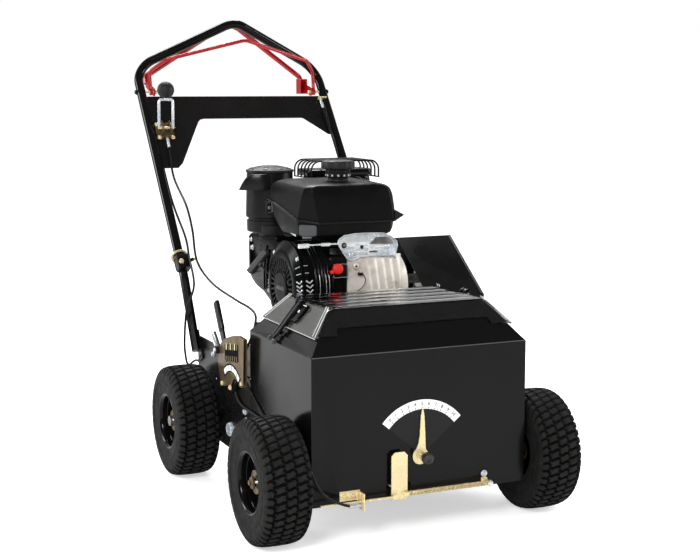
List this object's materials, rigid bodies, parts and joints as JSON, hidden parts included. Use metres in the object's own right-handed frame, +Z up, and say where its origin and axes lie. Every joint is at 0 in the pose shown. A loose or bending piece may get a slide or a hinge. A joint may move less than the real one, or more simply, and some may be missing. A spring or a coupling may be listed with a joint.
{
  "type": "walk-behind slice seeder",
  "caption": "Walk-behind lawn seeder with a front seed hopper, a belt-driven slicing reel, an engine on a deck, four wheels and a bent tube handle with two bails.",
  "frame": {"origin": "on the floor, in the middle of the footprint's bounding box", "axes": "+Z up; -Y is the machine's front with the hopper and the rate dial, +Y the operator's side; +X is the operator's left, where the belt guard is"},
  "size_m": [0.767, 1.3681, 1.1678],
  "materials": {
    "side_plate_right": "gloss black powder coat",
    "side_plate_left": "gloss black powder coat",
    "engine_deck": "satin black powder coat",
    "hopper_shell": "gloss black powder coat",
    "seed_chute": "satin black powder coat",
    "hopper_lid": "clear ribbed polycarbonate",
    "lid_latch_right": "black rubber",
    "lid_latch_left": "black rubber",
    "rate_pointer": "yellow zinc plated steel",
    "dial_knob": "black moulded plastic",
    "gate_slide": "yellow zinc plated steel",
    "gate_spring": "yellow zinc plated steel",
    "agitator": "bare steel",
    "front_tyre_right": "black turf tyre rubber",
    "front_tyre_left": "black turf tyre rubber",
    "rear_tyre_right": "black turf tyre rubber",
    "rear_tyre_left": "black turf tyre rubber",
    "front_wheel_right": "gloss black powder coat",
    "front_wheel_left": "gloss black powder coat",
    "rear_wheel_right": "gloss black powder coat",
    "rear_wheel_left": "gloss black powder coat",
    "rear_axle": "bare steel",
    "transmission": "die cast",
    "drive_sprocket": "bare steel",
    "drive_chain": "bare steel",
    "slicing_reel": "bare steel",
    "reel_carriage": "satin black powder coat",
    "reel_bearing_right": "bright zinc plated steel",
    "reel_bearing_left": "bright zinc plated steel",
    "reel_pulley": "satin black powder coat",
    "crank_pulley": "bare steel",
    "reel_belt": "black rubber",
    "idler_arm": "yellow zinc plated steel",
    "idler_pulley": "black moulded plastic",
    "belt_guard": "satin black powder coat",
    "crankcase": "die cast",
    "cylinder_head": "die cast",
    "blower_housing": "satin black powder coat",
    "recoil_cover": "black moulded plastic",
    "starter_grip": "black moulded plastic",
    "fuel_tank": "gloss black powder coat",
    "fuel_cap": "black moulded plastic",
    "air_cleaner": "black moulded plastic",
    "governor_plate": "bright zinc plated steel",
    "muffler": "satin black powder coat",
    "muffler_guard": "bare steel",
    "stop_knob": "red plastic",
    "lower_handle_right": "gloss black powder coat",
    "lower_handle_left": "gloss black powder coat",
    "upper_handle": "gloss black powder coat",
    "handle_plate": "gloss black powder coat",
    "lever_bracket": "yellow zinc plated steel",
    "seed_lever": "bright zinc plated steel",
    "traction_bail": "gloss red powder coat",
    "blade_bail": "gloss red powder coat",
    "depth_quadrant": "yellow zinc plated steel",
    "depth_lever": "satin black powder coat",
    "gate_cable": "black rubber",
    "traction_cable": "black rubber",
    "blade_cable": "black rubber"
  },
  "bodies": {
    "chassis": {"side_plate_right": "side_plate_right", "side_plate_left": "side_plate_left", "engine_deck": "engine_deck", "hopper_shell": "hopper_shell", "seed_chute": "seed_chute", "gate_spring": "gate_spring", "transmission": "transmission", "drive_chain": "drive_chain", "belt_guard": "belt_guard", "crankcase": "crankcase", "cylinder_head": "cylinder_head", "blower_housing": "blower_housing", "recoil_cover": "recoil_cover", "fuel_tank": "fuel_tank", "air_cleaner": "air_cleaner", "governor_plate": "governor_plate", "muffler": "muffler", "muffler_guard": "muffler_guard", "lower_handle_right": "lower_handle_right", "lower_handle_left": "lower_handle_left", "upper_handle": "upper_handle", "handle_plate": "handle_plate", "lever_bracket": "lever_bracket", "depth_quadrant": "depth_quadrant", "gate_cable": "gate_cable", "traction_cable": "traction_cable", "blade_cable": "blade_cable", "reel_belt": "reel_belt"},
    "lid": {"hopper_lid": "hopper_lid"},
    "latch_right": {"lid_latch_right": "lid_latch_right"},
    "latch_left": {"lid_latch_left": "lid_latch_left"},
    "pointer": {"rate_pointer": "rate_pointer"},
    "dial_clamp": {"dial_knob": "dial_knob"},
    "gate": {"gate_slide": "gate_slide"},
    "agitator": {"agitator": "agitator"},
    "front_right_wheel": {"front_tyre_right": "front_tyre_right", "front_wheel_right": "front_wheel_right"},
    "front_left_wheel": {"front_tyre_left": "front_tyre_left", "front_wheel_left": "front_wheel_left"},
    "rear_wheels": {"rear_axle": "rear_axle", "rear_tyre_right": "rear_tyre_right", "rear_tyre_left": "rear_tyre_left", "rear_wheel_right": "rear_wheel_right", "rear_wheel_left": "rear_wheel_left"},
    "drive_shaft": {"drive_sprocket": "drive_sprocket"},
    "carriage": {"reel_carriage": "reel_carriage", "reel_bearing_right": "reel_bearing_right", "reel_bearing_left": "reel_bearing_left"},
    "reel": {"slicing_reel": "slicing_reel", "reel_pulley": "reel_pulley"},
    "crankshaft": {"crank_pulley": "crank_pulley"},
    "idler": {"idler_arm": "idler_arm"},
    "idler_roller": {"idler_pulley": "idler_pulley"},
    "starter": {"starter_grip": "starter_grip"},
    "tank_cap": {"fuel_cap": "fuel_cap"},
    "stop": {"stop_knob": "stop_knob"},
    "seed_control": {"seed_lever": "seed_lever"},
    "traction_control": {"traction_bail": "traction_bail"},
    "blade_control": {"blade_bail": "blade_bail"},
    "depth_control": {"depth_lever": "depth_lever"}
  },
  "joints": [
    {"name": "lid_lift", "type": "slide", "parent": "chassis", "child": "lid", "axis": [0, 0, 1], "range_m": [0, 0.25]},
    {"name": "latch_right_release", "type": "hinge", "parent": "lid", "child": "latch_right", "pos_m": [-0.2086, -0.43015, 0.5026], "axis": [0, 1, 0], "range_deg": [0, 150]},
    {"name": "latch_left_release", "type": "hinge", "parent": "lid", "child": "latch_left", "pos_m": [0.2086, -0.43015, 0.5026], "axis": [0, -1, 0], "range_deg": [0, 150]},
    {"name": "rate_pointer_swing", "type": "hinge", "parent": "chassis", "child": "pointer", "pos_m": [0, -0.62235, 0.177], "axis": [0, 1, 0], "range_deg": [-42, 42]},
    {"name": "dial_clamp_turn", "type": "hinge", "parent": "chassis", "child": "dial_clamp", "pos_m": [0, -0.62365, 0.177], "axis": [0, 1, 0], "range_deg": [0, 270]},
    {"name": "gate_slide", "type": "slide", "parent": "chassis", "child": "gate", "axis": [1, 0, 0], "range_m": [0, 0.01], "deforming": ["gate_spring"]},
    {"name": "agitator_spin", "type": "hinge", "parent": "chassis", "child": "agitator", "pos_m": [0, -0.57615, 0.164], "axis": [1, 0, 0], "continuous": true},
    {"name": "front_right_spin", "type": "hinge", "parent": "chassis", "child": "front_right_wheel", "pos_m": [-0.33, -0.54515, 0.1397], "axis": [1, 0, 0], "continuous": true},
    {"name": "front_left_spin", "type": "hinge", "parent": "chassis", "child": "front_left_wheel", "pos_m": [0.33, -0.54515, 0.1397], "axis": [1, 0, 0], "continuous": true},
    {"name": "rear_axle_spin", "type": "hinge", "parent": "chassis", "child": "rear_wheels", "pos_m": [0, 0.05385, 0.1397], "axis": [1, 0, 0], "continuous": true},
    {"name": "drive_sprocket_spin", "type": "hinge", "parent": "chassis", "child": "drive_shaft", "pos_m": [0, 0.03985, 0.3], "axis": [1, 0, 0], "continuous": true},
    {"name": "reel_carriage_tilt", "type": "hinge", "parent": "chassis", "child": "carriage", "pos_m": [0, -0.27515, 0.2], "axis": [1, 0, 0], "range_deg": [-8.5, 0], "deforming": ["reel_belt"]},
    {"name": "reel_spin", "type": "hinge", "parent": "carriage", "child": "reel", "pos_m": [0, -0.11515, 0.146], "axis": [1, 0, 0], "continuous": true},
    {"name": "crankshaft_spin", "type": "hinge", "parent": "chassis", "child": "crankshaft", "pos_m": [0, -0.15515, 0.4975], "axis": [1, 0, 0], "continuous": true},
    {"name": "idler_swing", "type": "hinge", "parent": "chassis", "child": "idler", "pos_m": [0.247, -0.00015, 0.25], "axis": [1, 0, 0], "range_deg": [0, 10]},
    {"name": "idler_roller_spin", "type": "hinge", "parent": "idler", "child": "idler_roller", "pos_m": [0.235, -0.05315, 0.3], "axis": [1, 0, 0], "continuous": true},
    {"name": "starter_pull", "type": "slide", "parent": "chassis", "child": "starter", "axis": [-0.3783, 0.7146, 0.5885], "range_m": [0, 0.12], "stiffness_N_per_m": 60},
    {"name": "fuel_cap_turn", "type": "hinge", "parent": "chassis", "child": "tank_cap", "pos_m": [0.008, -0.14515, 0.77], "axis": [0, 0, 1], "range_deg": [0, 90]},
    {"name": "stop_knob_turn", "type": "hinge", "parent": "chassis", "child": "stop", "pos_m": [-0.044, -0.25745, 0.548], "axis": [0, 1, 0], "range_deg": [0, 60]},
    {"name": "seed_lever_swing", "type": "hinge", "parent": "chassis", "child": "seed_control", "pos_m": [-0.238, 0.48569, 0.86419], "axis": [1, 0, 0], "range_deg": [0, 40]},
    {"name": "traction_bail_squeeze", "type": "hinge", "parent": "chassis", "child": "traction_control", "pos_m": [0, 0.58837, 0.96215], "axis": [1, 0, 0], "range_deg": [-20, 0], "stiffness_Nm_per_rad": 3},
    {"name": "blade_bail_squeeze", "type": "hinge", "parent": "chassis", "child": "blade_control", "pos_m": [0, 0.58837, 0.96215], "axis": [1, 0, 0], "range_deg": [0, 6], "stiffness_Nm_per_rad": 6},
    {"name": "depth_lever_swing", "type": "hinge", "parent": "chassis", "child": "depth_control", "pos_m": [-0.274, -0.16015, 0.262], "axis": [1, 0, 0], "range_deg": [0, 25]}
  ],
  "couplings": [
    {"joint": "gate_slide", "follows": "seed_lever_swing", "m_per_rad": 0.014324},
    {"joint": "reel_carriage_tilt", "follows": "depth_lever_swing", "ratio": -0.34},
    {"joint": "drive_sprocket_spin", "follows": "rear_axle_spin", "ratio": 2},
    {"joint": "crankshaft_spin", "follows": "reel_spin", "ratio": 2},
    {"joint": "idler_swing", "follows": "blade_bail_squeeze", "ratio": 1.66}
  ]
}
